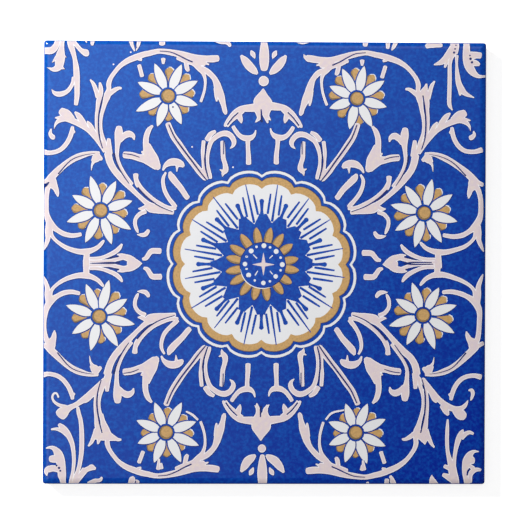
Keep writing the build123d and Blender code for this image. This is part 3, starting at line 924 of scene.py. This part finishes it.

# The four quarters of the painting are only nearly mirror images. These rows were read,
# with the mirror image's outlines drawn over the photo: (x, y) of a place in the mirror image and
# how far the paint lies from it, (dx, dy)

NUDGES = {
    (1, 1): (),
    (-1, 1): (
        (17.0, 50.3, 0.0, -0.35), (24.0, 51.5, 0.0, -0.1), (10.0, 49.9, -0.3, 0.2),
        (33.0, 49.3, 0.2, 0.2), (35.3, 47.2, 0.4, 0.3), (36.8, 44.5, 0.7, 0.2),
        (37.3, 41.5, 0.4, 0.1), (38.3, 35.5, -0.1, 0.0), (41.3, 44.4, -0.2, 0.1),
        (14.4, 39.3, 0.8, -0.5), (13.5, 44.0, 0.2, 0.0), (10.4, 43.5, 0.7, 0.0),
        (10.6, 39.5, -0.1, -1.8), (8.3, 36.4, 0.3, -0.4), (17.5, 46.8, -0.5, -1.0),
        (2.8, 48.0, 0.4, 0.0), (28.9, 46.8, -0.4, 0.0), (48.6, 36.8, 0.5, 0.1),
        (44.2, 35.7, 0.0, 0.3), (50.0, 34.0, 0.2, -0.3), (51.0, 26.7, 0.0, 0.7),
        (46.8, 29.9, -0.4, 0.5), (45.6, 32.6, 0.1, 0.3), (53.2, 26.9, 0.0, 1.2),
        (27.3, 30.0, -0.2, 0.0), (26.6, 25.0, -0.2, 0.0), (33.3, 26.2, -0.8, -0.5),
        (30.0, 25.8, -0.2, -0.3), (46.5, 24.8, 0.0, -0.4), (41.0, 26.7, 0.0, 0.2),
        (51.9, 15.0, 1.0, 0.0), (51.8, 12.0, 0.9, 0.0), (50.7, 9.3, 0.6, 0.0),
        (49.2, 16.5, 0.6, 0.0), (50.5, 20.5, 0.0, 0.0), (51.5, 5.8, 0.6, 0.0),
        (52.4, 3.6, 1.3, 0.0), (42.0, 2.7, 0.2, 0.3), (37.9, 5.2, 0.1, -0.3),
        (42.1, -0.3, 0.4, 0.0), (33.5, 4.4, -0.3, 0.2), (23.5, 19.0, 0.4, 0.0),
        (20.5, 13.5, -0.1, 0.2), (20.8, 18.5, -0.2, 0.0), (23.5, 22.6, 0.9, -0.8),
        (21.0, 24.4, 0.0, -0.1), (34.5, 22.0, 0.2, 0.0), (30.2, 21.3, 0.1, -0.4),
        (30.3, 9.5, -0.1, 0.3), (28.0, 7.2, -0.4, -0.5), (16.2, 24.2, 0.6, 0.0),
        (19.6, 28.8, 0.5, 0.0), (13.0, 20.5, 0.8, -0.2), (22.3, 33.7, 0.1, 0.1),
        (12.8, 26.0, 0.7, 0.0), (8.0, 31.5, 0.3, -0.2), (7.2, 28.0, -0.3, 0.1),
        (9.0, 27.5, 0.3, 0.0), (8.8, 21.8, 0.2, 0.5), (1.0, 32.3, 0.2, 0.6),
        (6.5, 33.2, 0.3, -0.3), (4.8, 37.6, 0.0, 0.5), (7.3, 36.0, 0.2, 0.3),
    ),
    (1, -1): (
        (-45.0, -2.6, 0.0, -0.6), (-50.3, -5.0, -0.2, -0.4), (-39.5, -5.2, -0.1, -0.6),
        (-45.0, -6.7, -0.5, -0.9), (-49.5, -7.2, 0.0, -0.8), (-52.5, -10.8, 0.0, 0.0),
        (-50.6, -16.2, -1.2, -0.8), (-51.6, -19.2, 0.0, -0.2), (-53.6, -19.5, 0.0, -1.2),
        (-51.0, -22.0, 0.0, -0.5), (-47.0, -25.0, 0.0, -0.9), (-44.0, -26.2, 0.0, -1.0),
        (-41.0, -26.4, -0.2, -0.7), (-42.4, -22.6, -0.5, -0.2), (-47.0, -32.8, 0.5, -0.5),
        (-51.5, -26.7, -0.3, -0.5), (-48.2, -29.5, -0.3, 0.0), (-51.9, -31.0, 0.9, -1.6),
        (-49.7, -36.7, -0.2, -0.7), (-46.0, -36.2, 0.0, 0.2), (-38.2, -29.8, -0.3, -1.6),
        (-35.8, -33.0, -0.2, -1.2), (-33.3, -31.3, 0.0, -0.9), (-32.1, -30.0, 0.1, -0.8),
        (-27.6, -33.2, 0.1, -0.7), (-34.6, -26.2, 0.3, -0.5), (-31.0, -25.7, 0.0, -0.3),
        (-26.1, -23.0, 0.0, 0.0), (-35.3, -42.4, 0.5, -0.9), (-38.2, -42.4, -0.1, -0.8),
        (-42.6, -44.3, -0.1, -0.3), (-40.4, -43.6, -0.3, -0.3), (-37.0, -46.2, -0.2, -0.6),
        (-33.6, -49.1, -0.3, -0.7), (-29.0, -50.9, 0.0, -0.7), (-25.0, -51.5, 0.0, -0.5),
        (-20.0, -50.6, 0.0, -0.5), (-14.8, -49.6, 0.0, -0.3), (-11.6, -49.9, 0.6, -0.7),
        (-30.5, -46.8, 0.8, -0.8), (-25.0, -49.0, -0.4, -0.5), (-19.2, -47.4, 0.2, 0.0),
        (-9.8, -36.5, 0.2, -1.3), (-11.4, -42.0, 0.4, 0.0), (-11.9, -39.5, 0.2, 0.9),
        (-6.0, -37.5, 0.0, -0.8), (-9.0, -35.0, -0.3, -0.5), (-9.9, -33.5, -0.5, 0.1),
        (-0.7, -42.0, -0.2, -1.0), (-2.4, -34.5, 0.3, -0.6), (0.4, -34.4, 0.1, -0.6),
        (-4.8, -30.4, 0.0, -0.3), (-7.8, -33.1, -0.1, -0.6), (-2.5, -32.2, -0.1, -0.3),
        (-4.1, -24.3, 0.0, -0.6), (-10.5, -29.4, -0.1, -0.3), (-9.4, -31.5, -0.1, -0.4),
        (-8.5, -28.0, 0.4, -0.9), (-7.7, -29.6, 0.1, -0.6), (-12.5, -31.8, 0.1, -0.7),
        (-15.1, -29.5, -0.4, -0.4), (-15.2, -25.0, -0.4, -0.2), (-19.3, -26.3, -0.3, 0.0),
        (-23.8, -33.7, -0.3, -0.9), (-14.5, -20.5, 0.0, 0.0), (-24.9, -19.0, -0.5, 0.0),
        (-24.4, -21.8, -0.7, -0.7), (-18.9, -15.9, 0.7, -0.4), (-21.0, -18.7, 0.4, -0.2),
        (-23.2, -21.8, 0.1, -0.3), (-22.0, -24.5, 0.0, -0.6), (-20.1, -23.6, 0.1, -0.4),
        (-31.6, -21.3, -0.3, -0.9), (-28.8, -16.5, -0.1, -0.3), (-22.5, -12.3, 0.8, -0.6),
        (-26.0, -12.9, 0.0, -0.4), (-37.5, -23.5, 0.5, 0.0), (-33.5, -18.8, 0.3, -0.1),
        (-29.2, -1.1, 0.4, -0.6), (-25.8, -2.8, 0.1, -0.7), (-34.9, -4.3, 0.1, -0.2),
    ),
    (-1, -1): (
        (47.8, -7.1, 0.0, -0.7), (43.6, -6.8, 0.1, -0.2), (51.9, -14.0, 0.7, 0.0),
        (51.5, -10.5, 0.8, -0.2), (51.6, -6.0, 0.8, 0.0), (52.4, -3.8, 1.0, 0.6),
        (51.8, -18.5, 0.9, 0.0), (49.2, -16.2, -0.1, -1.2), (46.0, -25.0, 0.0, -0.7),
        (50.3, -21.2, 0.2, -0.3), (41.5, -26.6, 0.0, -0.7), (39.7, -25.6, 0.4, -0.5),
        (41.0, -22.6, 0.6, -0.5), (51.0, -26.7, 0.0, -0.8), (46.5, -30.0, 0.2, -0.2),
        (45.6, -32.7, 0.0, -0.3), (53.3, -27.0, 0.0, -0.9), (50.5, -31.0, -0.1, -1.0),
        (48.4, -36.7, 0.1, -0.6), (45.0, -36.3, 0.0, -0.6), (36.8, -29.8, 0.1, -0.5),
        (34.3, -33.0, 0.0, -0.5), (31.7, -31.3, 0.0, -0.4), (26.3, -33.1, 0.3, -1.0),
        (31.0, -26.0, 0.0, -0.2), (33.9, -42.4, -0.6, -0.9), (36.8, -42.2, 0.0, -0.7),
        (41.2, -44.2, 0.2, -0.8), (39.0, -43.6, 0.2, -0.2), (36.4, -44.6, 0.8, -0.2),
        (35.3, -46.4, 0.7, -0.2), (33.4, -48.3, 0.5, -0.5), (30.0, -50.3, 0.0, -0.9),
        (24.3, -51.5, 0.0, -0.7), (20.0, -51.0, 0.0, -0.8), (15.5, -50.0, 0.0, -0.9),
        (10.4, -49.9, 0.2, -1.0), (28.9, -46.8, -0.4, -0.8), (23.6, -49.0, 0.7, -1.0),
        (17.8, -47.2, 0.0, -0.8), (13.4, -43.5, 0.3, 0.0), (8.5, -36.5, 0.2, -0.6),
        (10.1, -42.0, -0.4, 0.0), (10.6, -39.5, -0.2, 0.9), (4.8, -37.6, 0.0, -0.5),
        (7.5, -36.0, 0.4, -0.3), (8.4, -33.6, 0.2, -0.4), (-0.7, -42.0, -0.2, -1.0),
        (2.7, -24.3, 0.1, -0.6), (9.0, -29.3, 0.3, -0.6), (8.4, -22.5, 0.5, 0.3),
        (7.2, -28.0, -0.3, -0.4), (8.0, -31.5, 0.2, -0.4), (11.6, -30.2, 0.3, 0.0),
        (10.9, -31.9, -0.1, -0.9), (22.3, -33.6, 0.4, -0.5), (18.0, -26.3, 0.0, 0.0),
        (23.5, -19.2, 0.2, -0.2), (20.6, -13.7, 0.4, -0.3), (17.6, -16.0, -0.3, -0.4),
        (20.5, -18.9, -0.4, -0.2), (21.0, -24.5, 0.2, -0.5), (30.2, -21.3, -0.1, -0.9),
        (27.4, -16.5, 0.2, -0.4), (21.2, -12.3, 0.2, -0.3), (27.8, -1.1, 0.3, -0.5),
        (24.4, -2.8, 0.2, -0.6), (37.9, -5.2, 0.1, 0.0), (3.3, -30.4, 0.0, -0.2),
    ),
}
NUDGE_REACH = 2.4
NUDGE_REST = 0.04
MIRROR_SHIFT = -1.4


def placed(rows, side, rise):
    """A mark turned over to another quarter, and then shifted by the mean of that quarter's
    nudges, each weighed by a bell curve of its distance."""
    marks = np.array(rows, float)
    marks[:, 0] = side * marks[:, 0] + (0.0 if side > 0 else MIRROR_SHIFT)
    marks[:, 1] *= rise
    near = NUDGES[side, rise]
    if near:
        near = np.array(near)
        gap = marks[:, None, :2] - near[None, :, :2]
        weight = np.exp(-(gap**2).sum(axis=2) / (2 * NUDGE_REACH**2))
        total = weight.sum(axis=1) + NUDGE_REST
        marks[:, :2] += (weight @ near[:, 2:]) / total[:, None]
    return [tuple(row) for row in marks.tolist()]


RIM = 0.19
SPECK_REACH = 0.2


def scrollwork(painting, scrolls, veins, key):
    """Pink marks with a paler rim and a dark key line, and the veins drawn over them."""
    for rows in scrolls:
        brush(painting, rows, "ink", key, KEY_SHIFT)
    for rows in scrolls:
        brush(painting, rows, "rim")
    for rows in scrolls:
        brush(painting, [(x, y, max(w - 2 * RIM, 0.0)) for x, y, w in rows], "pink")
    for rows in veins:
        brush(painting, rows, "ink")


def paint(sizes):
    """The whole painting, with the key line's width from the sizes."""
    painting = Painting()
    key = sizes.key_line / MM
    for centre, petal_tips, leaf_tips in DAISIES:
        daisy(painting, centre, petal_tips, leaf_tips, key)
    scrolls = list(CORNERS)
    veins = list(CORNER_VEINS)
    for side, rise in NUDGES:
        shared = SCROLLS + TOP_LEAF if rise > 0 else SCROLLS
        scrolls += [placed(rows, side, rise) for rows in shared]
        veins += [placed(rows, side, rise) for rows in VEINS]
    scrollwork(painting, scrolls, veins, key)
    for x, y, radius in SCROLL_BALLS:
        dot(painting, (x + KEY_SHIFT[0], y + KEY_SHIFT[1]), radius, "ink", key)
        dot(painting, (x, y), radius, "rim")
        dot(painting, (x, y), radius - RIM, "pink")
    for x, y, radius in INK_DOTS:
        dot(painting, (x, y), radius, "ink")
    for centre in PALE_SPECKS:
        dot(painting, centre, SPECK_REACH, "rim")
    rosette(painting, key)
    return painting


# The skin

ARC_STATIONS = 7
ARRIS_STATIONS = 6
# The rows on the upright side, as shares of how far the glaze runs down it
SIDE_SHARES = (0.5, 1.0)


def ring_reaches(sizes):
    """Rows of (reach on the sheet, reach in plan, height, corner radius) from the flat outwards:
    an arc, a small arris and the upright side, each by its own arc length."""
    flat = (TILE_HIGH[0] - sizes.cushion_width) / MM
    top = (TILE_HIGH[2] + sizes.glaze) / MM
    radius = sizes.cushion_radius / MM + sizes.glaze / MM
    turn = np.arcsin(sizes.cushion_width / sizes.cushion_radius)
    side = (TILE_HIGH[0] + sizes.glaze) / MM
    arris = sizes.arris_radius / MM
    corner = sizes.corner_radius / MM
    # The arris touches the arc and the side, so its middle lies one arris radius in from both.
    middle_x = side - arris
    touch = np.arcsin((middle_x - flat) / (radius - arris))
    middle_z = top - radius + (radius - arris) * np.cos(touch)
    rows = []
    for angle in np.linspace(0.0, touch, ARC_STATIONS):
        plan = flat + radius * sin(angle)
        rows.append((flat + radius * angle, plan, top - radius * (1 - cos(angle)), angle))
    start = rows[-1][0]
    for angle in np.linspace(touch, pi / 2, ARRIS_STATIONS)[1:]:
        rows.append((
            start + arris * (angle - touch), middle_x + arris * sin(angle),
            middle_z + arris * cos(angle), angle))
    start, low = rows[-1][0], rows[-1][2]
    run = sizes.glaze_run / MM
    for share in SIDE_SHARES:
        rows.append((start + run * share, side, low - run * share, pi / 2))
    rows = np.array(rows)
    growth = np.clip((rows[:, 1] - flat) / (side - flat), 0.0, 1.0)
    return rows, corner * growth


TOUCHING = 1e-6


def place_on_tile(sheet, sizes):
    """Bends flat sheet points over the edge. The larger of |x| and |y| picks the ring, whose
    plan reach and height come from the arc; near a corner the point slides onto its rounding."""
    rings, corner = ring_reaches(sizes)
    reach = np.abs(sheet).max(axis=1)
    plan = np.interp(reach, rings[:, 0], rings[:, 1])
    inside = reach < rings[0, 0]
    plan[inside] = reach[inside]
    height = np.interp(reach, rings[:, 0], rings[:, 2])
    tilt = np.interp(reach, rings[:, 0], rings[:, 3])
    rounding = np.interp(reach, rings[:, 0], corner)
    rounding[inside] = 0.0
    scale = np.where(reach > 0, plan / np.maximum(reach, SMALLEST), 1.0)
    flat = sheet * scale[:, None]
    hub = (plan - rounding)[:, None]
    past = np.abs(flat) - hub
    in_corner = (past > SMALLEST).all(axis=1) & (rounding > 0)
    span = past.max(axis=1)
    length = np.hypot(past[:, 0], past[:, 1])
    slide = np.where(in_corner, span / np.maximum(length, SMALLEST), 1.0)
    moved = np.sign(flat) * (hub + past * slide[:, None])
    flat = np.where(in_corner[:, None], moved, flat)
    # On top of a corner the body is as high as its two crossed roll-offs, not as its rounding.
    curved = rings[:-len(SIDE_SHARES)]
    ridge = np.interp(np.abs(flat).max(axis=1), curved[:, 1], curved[:, 2])
    on_top = in_corner & (reach <= curved[-1, 0] + TOUCHING)
    height = np.where(on_top, np.maximum(height, ridge), height)
    out = np.where(
        in_corner[:, None], np.sign(flat) * past / np.maximum(length, SMALLEST)[:, None],
        np.where(np.abs(sheet) >= reach[:, None] - SMALLEST, np.sign(sheet), 0.0))
    out = out / np.maximum(np.hypot(out[:, 0], out[:, 1]), SMALLEST)[:, None]
    normals = np.column_stack([out * np.sin(tilt)[:, None], np.cos(tilt)])
    return np.column_stack([flat, height]), normals


CORNER_STEPS = np.array((0.0, 0.1, 0.2, 0.3, 0.42, 0.55, 0.7, 0.9, 1.2))
CORNER_REACH = 2.4
SIDE_STATIONS = 48


def ring_guides(sizes):
    """Square guide lines on the sheet, with extra points near the corners."""
    rings, _ = ring_reaches(sizes)
    points, edges = [], []
    for reach in rings[:, 0]:
        far = np.linspace(-reach + CORNER_REACH, reach - CORNER_REACH, SIDE_STATIONS)
        side = np.concatenate([-reach + CORNER_STEPS, far, (reach - CORNER_STEPS)[::-1]])[:-1]
        first = len(points)
        for turn in range(4):
            c, s = round(cos(turn * pi / 2)), round(sin(turn * pi / 2))
            x, y = side, np.full_like(side, -reach)
            points.extend(np.stack([x * c - y * s, x * s + y * c], axis=1).tolist())
        count = len(points) - first
        edges.extend([(first + i, first + (i + 1) % count) for i in range(count)])
    return points, edges


# Each glaze: its material's name, its two colours, how far and how finely it wanders from the
# one to the other, and how far it drifts across the face as painted light
GLAZES = {
    # The cobalt ground's drift is painted light, paler towards the top left corner.
    "cobalt": ("cobalt_glaze", "cobalt", "cobalt_mottle_and_painted_light", 0.42, 1400.0, 0.65),
    "ink": ("key_line_glaze", "ink", "cobalt", 0.4, 900.0, 0.0),
    "rim": ("scroll_rim_glaze", "rim", "pink", 0.4, 500.0, 0.0),
    "pink": ("scroll_pink_glaze", "pink", "cream", 0.8, 1000.0, 0.0),
    "gold_shade": ("ochre_shade_glaze", "gold_shade", "gold", 0.4, 1500.0, 0.0),
    "gold": ("ochre_glaze", "gold", "gold_shade", 0.35, 2200.0, 0.0),
    "white": ("petal_white_glaze", "white", "rim", 0.15, 300.0, 0.0),
    "rosette": ("rosette_white_glaze", "white", "rim", 0.2, 300.0, 0.0),
}
PAINT_MARGIN = 0.1
CHART_MARGIN = 1.0
# The triangulation joins points closer than this, and hands back all of its cells.
WELD = 1e-4
ALL_CELLS = 0


def top_marks(painting, centres):
    """The number of the last mark that covers each point, or -1. A point lies in a triangle if
    the three cross products round it have the same sign."""
    top = np.full(len(centres), -1)
    order = np.argsort(centres[:, 0])
    ranked = centres[order]
    for number, (points, cells, _, _) in enumerate(painting.marks):
        low, high = points.min(axis=0), points.max(axis=0)
        start, end = np.searchsorted(ranked[:, 0], (low[0], high[0]))
        near = order[start:end]
        near = near[(centres[near, 1] >= low[1]) & (centres[near, 1] <= high[1])]
        a, b, c = (points[cells[:, k]][None] for k in range(3))
        p = centres[near][:, None]
        turns = [
            (v[..., 0] - u[..., 0]) * (p[..., 1] - u[..., 1])
            - (v[..., 1] - u[..., 1]) * (p[..., 0] - u[..., 0])
            for u, v in ((a, b), (b, c), (c, a))]
        left = (turns[0] > 0) & (turns[1] > 0) & (turns[2] > 0)
        right = (turns[0] < 0) & (turns[1] < 0) & (turns[2] < 0)
        top[near[(left | right).any(axis=1)]] = number
    return top


def skin_mesh(painting, sizes):
    """Cuts the sheet along every outline and ring, gives each cell its topmost glaze and bends
    the sheet over the tile."""
    guides, edges = ring_guides(sizes)
    corners = list(guides)
    for points, _, outline, _ in painting.marks:
        edges.extend((outline + len(corners)).tolist())
        corners.extend(points.tolist())
    limit = np.abs(np.array(guides)).max()
    found = delaunay_2d_cdt(
        [Vector(point) for point in corners], edges, [], ALL_CELLS, WELD, False)
    sheet, cells = np.array([point[:] for point in found[0]]), np.array(found[2])
    centres = sheet[cells].mean(axis=1)
    kept = np.abs(centres).max(axis=1) < limit
    cells, centres = cells[kept], centres[kept]
    top = top_marks(painting, centres)
    top[np.abs(centres).max(axis=1) > TILE_HIGH[0] / MM - PAINT_MARGIN] = -1
    # A cell that no mark covers has the number -1, which picks the ground at the end.
    order = list(GLAZES)
    glaze_of = np.array([order.index(mark[3]) for mark in painting.marks] + [0])
    points, normals = place_on_tile(sheet, sizes)
    mesh = bpy.data.meshes.new("glaze_skin")
    mesh.from_pydata(points * MM, [], cells.tolist())
    mesh.polygons.foreach_set("material_index", glaze_of[top].astype(np.int32))
    mesh.polygons.foreach_set("use_smooth", np.ones(len(cells), bool))
    mesh.normals_split_custom_set_from_vertices(normals.tolist())
    chart = mesh.uv_layers.new(name="OFBake")
    corner_of = np.empty(len(mesh.loops), np.int32)
    mesh.loops.foreach_get("vertex_index", corner_of)
    chart.data.foreach_set("uv", (sheet[corner_of] / (2 * limit + 2 * CHART_MARGIN) + 0.5).ravel())
    mesh.update()
    return mesh


def show(mesh, name):
    """Puts a mesh into the scene at the origin, unturned and unscaled."""
    made = bpy.data.objects.new(name, mesh)
    bpy.context.scene.collection.objects.link(made)
    return made


# Operators

CLAY_GRAIN_SCALE = 2500.0
CLAY_GRAIN_DETAIL = 4.0
CLAY_GRAIN_STRENGTH = 0.4
CLAY_GRAIN_DEPTH = 0.0001
CLAY_CLOUD_SCALE = 60.0
CLAY_CLOUD_DETAIL = 2.0
CLAY_SHADE = 0.72
CLAY_ROUGHNESS = 0.85

PAPER = (0.9, 0.9, 0.9)
UP = (0.0, 0.0, 1.0)
# The glow of the room: the way it comes from, where it sets in and how strong it is
GLOW_WAY = (-0.82, 0.57, 0.0)
GLOW_LEAN = (-0.14, 0.16)
GLOW_HEIGHT = (0.8, 0.95)
GLOW_STRENGTH = 1.2
ROOM_STRENGTH = 0.06
LAMP_PLACE = (-0.36, 0.28, 0.42)
LAMP_SIZE = 0.12
AIM_DEPTH = 0.0004
SENSOR_WIDTH = 36.0
NEAREST = 0.01


class TILE_OT_glaze(bpy.types.Operator):
    """Paint the face and lay its glaze over the tile"""

    bl_idname = "tile.glaze"
    bl_label = "Glaze and painting"

    def execute(self, context):
        scene = context.scene
        sizes, colours = scene.tile_sizes, scene.glaze_colours
        mesh = skin_mesh(paint(sizes), sizes)
        for name, first, second, amount, scale, painted_light_drift in GLAZES.values():
            pair = getattr(colours, first), getattr(colours, second)
            mesh.materials.append(glazed(name, *pair, amount, scale, painted_light_drift))
        skin = show(mesh, "glaze_skin")
        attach(skin, "root")
        print("skin triangles", len(mesh.polygons))
        return {"FINISHED"}


class TILE_OT_biscuit(bpy.types.Operator):
    """Give the pressed body its bare fired clay"""

    bl_idname = "tile.biscuit"
    bl_label = "Biscuit body"

    def execute(self, context):
        colour = tuple(context.scene.glaze_colours.biscuit)
        material = new_material("biscuit_clay")
        point = object_point(material)
        grain = point.noise(CLAY_GRAIN_SCALE, CLAY_GRAIN_DETAIL)
        cloud = point.noise(CLAY_CLOUD_SCALE, CLAY_CLOUD_DETAIL)
        dark = tuple(CLAY_SHADE * part for part in colour)
        tone = mix_colours(grain.step(0.4, 0.8) * 0.5 + cloud.step(0.3, 0.7) * 0.4, colour, dark)
        finish_material(material, {
            "Base Color": tone,
            "Roughness": CLAY_ROUGHNESS,
            "Normal": grain.bump(CLAY_GRAIN_STRENGTH, CLAY_GRAIN_DEPTH),
        })
        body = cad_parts["tile"]
        for slot in body.material_slots:
            slot.material = material
        return {"FINISHED"}


class TILE_OT_stage(bpy.types.Operator):
    """Set up the floor, the lights and the camera"""

    bl_idname = "tile.stage"
    bl_label = "Stage"

    def execute(self, context):
        settings = context.scene.stage_settings
        self.floor(settings)
        self.lights(settings)
        self.camera(context.scene, settings)
        context.scene.view_settings.view_transform = "Standard"
        return {"FINISHED"}

    def floor(self, settings):
        half = settings.floor_size / 2
        corners = [(-half, -half, 0), (half, -half, 0), (half, half, 0), (-half, half, 0)]
        mesh = bpy.data.meshes.new("floor")
        mesh.from_pydata(corners, [], [(0, 1, 2, 3)])
        material = new_material("floor_paper")
        tree = material.node_tree
        start = Shade(tree, None)
        seen = start.node("ShaderNodeLightPath", None, None, "Is Camera Ray")
        paper = start.node("ShaderNodeBsdfDiffuse", None, {"Color": PAPER})
        lift = start.node("ShaderNodeEmission", None, {"Strength": seen * settings.floor_lift})
        both = start.node("ShaderNodeAddShader", None, {0: paper, 1: lift})
        output = tree.nodes.new("ShaderNodeOutputMaterial")
        tree.links.new(both.socket, output.inputs["Surface"])
        mesh.materials.append(material)
        show(mesh, "floor")

    def lights(self, settings):
        world = bpy.data.worlds.new("studio")
        bpy.context.scene.world = world
        world.use_nodes = True
        tree = world.node_tree
        tree.nodes.clear()
        start = Shade(tree, None)
        seen = start.node("ShaderNodeLightPath", None, None, "Is Camera Ray")
        way = start.node("ShaderNodeTexCoord", None, None, "Generated")
        glow = way.along(GLOW_WAY).step(*GLOW_LEAN) * way.along(UP).step(*GLOW_HEIGHT)
        around = glow * GLOW_STRENGTH + ROOM_STRENGTH
        strength = around * (1.0 - seen) + seen
        background = start.node(
            "ShaderNodeBackground", None, {"Color": (1.0, 1.0, 1.0), "Strength": strength})
        output = tree.nodes.new("ShaderNodeOutputWorld")
        tree.links.new(background.socket, output.inputs["Surface"])
        lamp = bpy.data.lights.new("soft_lamp", "AREA")
        lamp.shape = "DISK"
        lamp.size = LAMP_SIZE
        lamp.energy = settings.lamp_power
        made = bpy.data.objects.new("soft_lamp", lamp)
        made.location = LAMP_PLACE
        made.rotation_euler = (-made.location).to_track_quat("-Z", "Y").to_euler()
        bpy.context.scene.collection.objects.link(made)

    def camera(self, scene, settings):
        aim = Vector((0, -settings.aim_drop, TILE_HIGH[2] - AIM_DEPTH))
        away = Vector((-tan(settings.lean_left), tan(settings.lean_up), 1.0)).normalized()
        right = Vector((0, 1, 0)).cross(away).normalized()
        up = away.cross(right)
        turned_right = right * cos(settings.roll) + up * sin(settings.roll)
        turned_up = up * cos(settings.roll) - right * sin(settings.roll)
        lens = bpy.data.cameras.new("camera")
        lens.lens = settings.lens
        lens.sensor_width = SENSOR_WIDTH
        lens.clip_start = NEAREST
        made = bpy.data.objects.new("camera", lens)
        turn = Matrix((turned_right, turned_up, away)).transposed().to_4x4()
        made.matrix_world = Matrix.Translation(aim + away * settings.distance) @ turn
        scene.collection.objects.link(made)
        scene.camera = made


class TILE_PT_panel(bpy.types.Panel):
    """Lists the steps that dress the tile"""

    bl_idname = "TILE_PT_panel"
    bl_label = "Wall tile"
    bl_space_type = "VIEW_3D"
    bl_region_type = "UI"
    bl_category = "Tile"

    def draw(self, context):
        for step in STEPS:
            self.layout.operator(step.bl_idname)


GROUPS = (
    ("tile_sizes", TileSizes),
    ("glaze_colours", GlazeColours),
    ("stage_settings", StageSettings),
)
STEPS = (TILE_OT_glaze, TILE_OT_biscuit, TILE_OT_stage)


def register():
    for name, group in GROUPS:
        bpy.utils.register_class(group)
        setattr(bpy.types.Scene, name, bpy.props.PointerProperty(type=group))
    for step in (*STEPS, TILE_PT_panel):
        bpy.utils.register_class(step)


def unregister():
    for step in (*STEPS, TILE_PT_panel):
        bpy.utils.unregister_class(step)
    for name, group in GROUPS:
        delattr(bpy.types.Scene, name)
        bpy.utils.unregister_class(group)


def main():
    register()
    bpy.ops.tile.glaze()
    bpy.ops.tile.biscuit()
    bpy.ops.tile.stage()


if __name__ == "__main__":
    main()
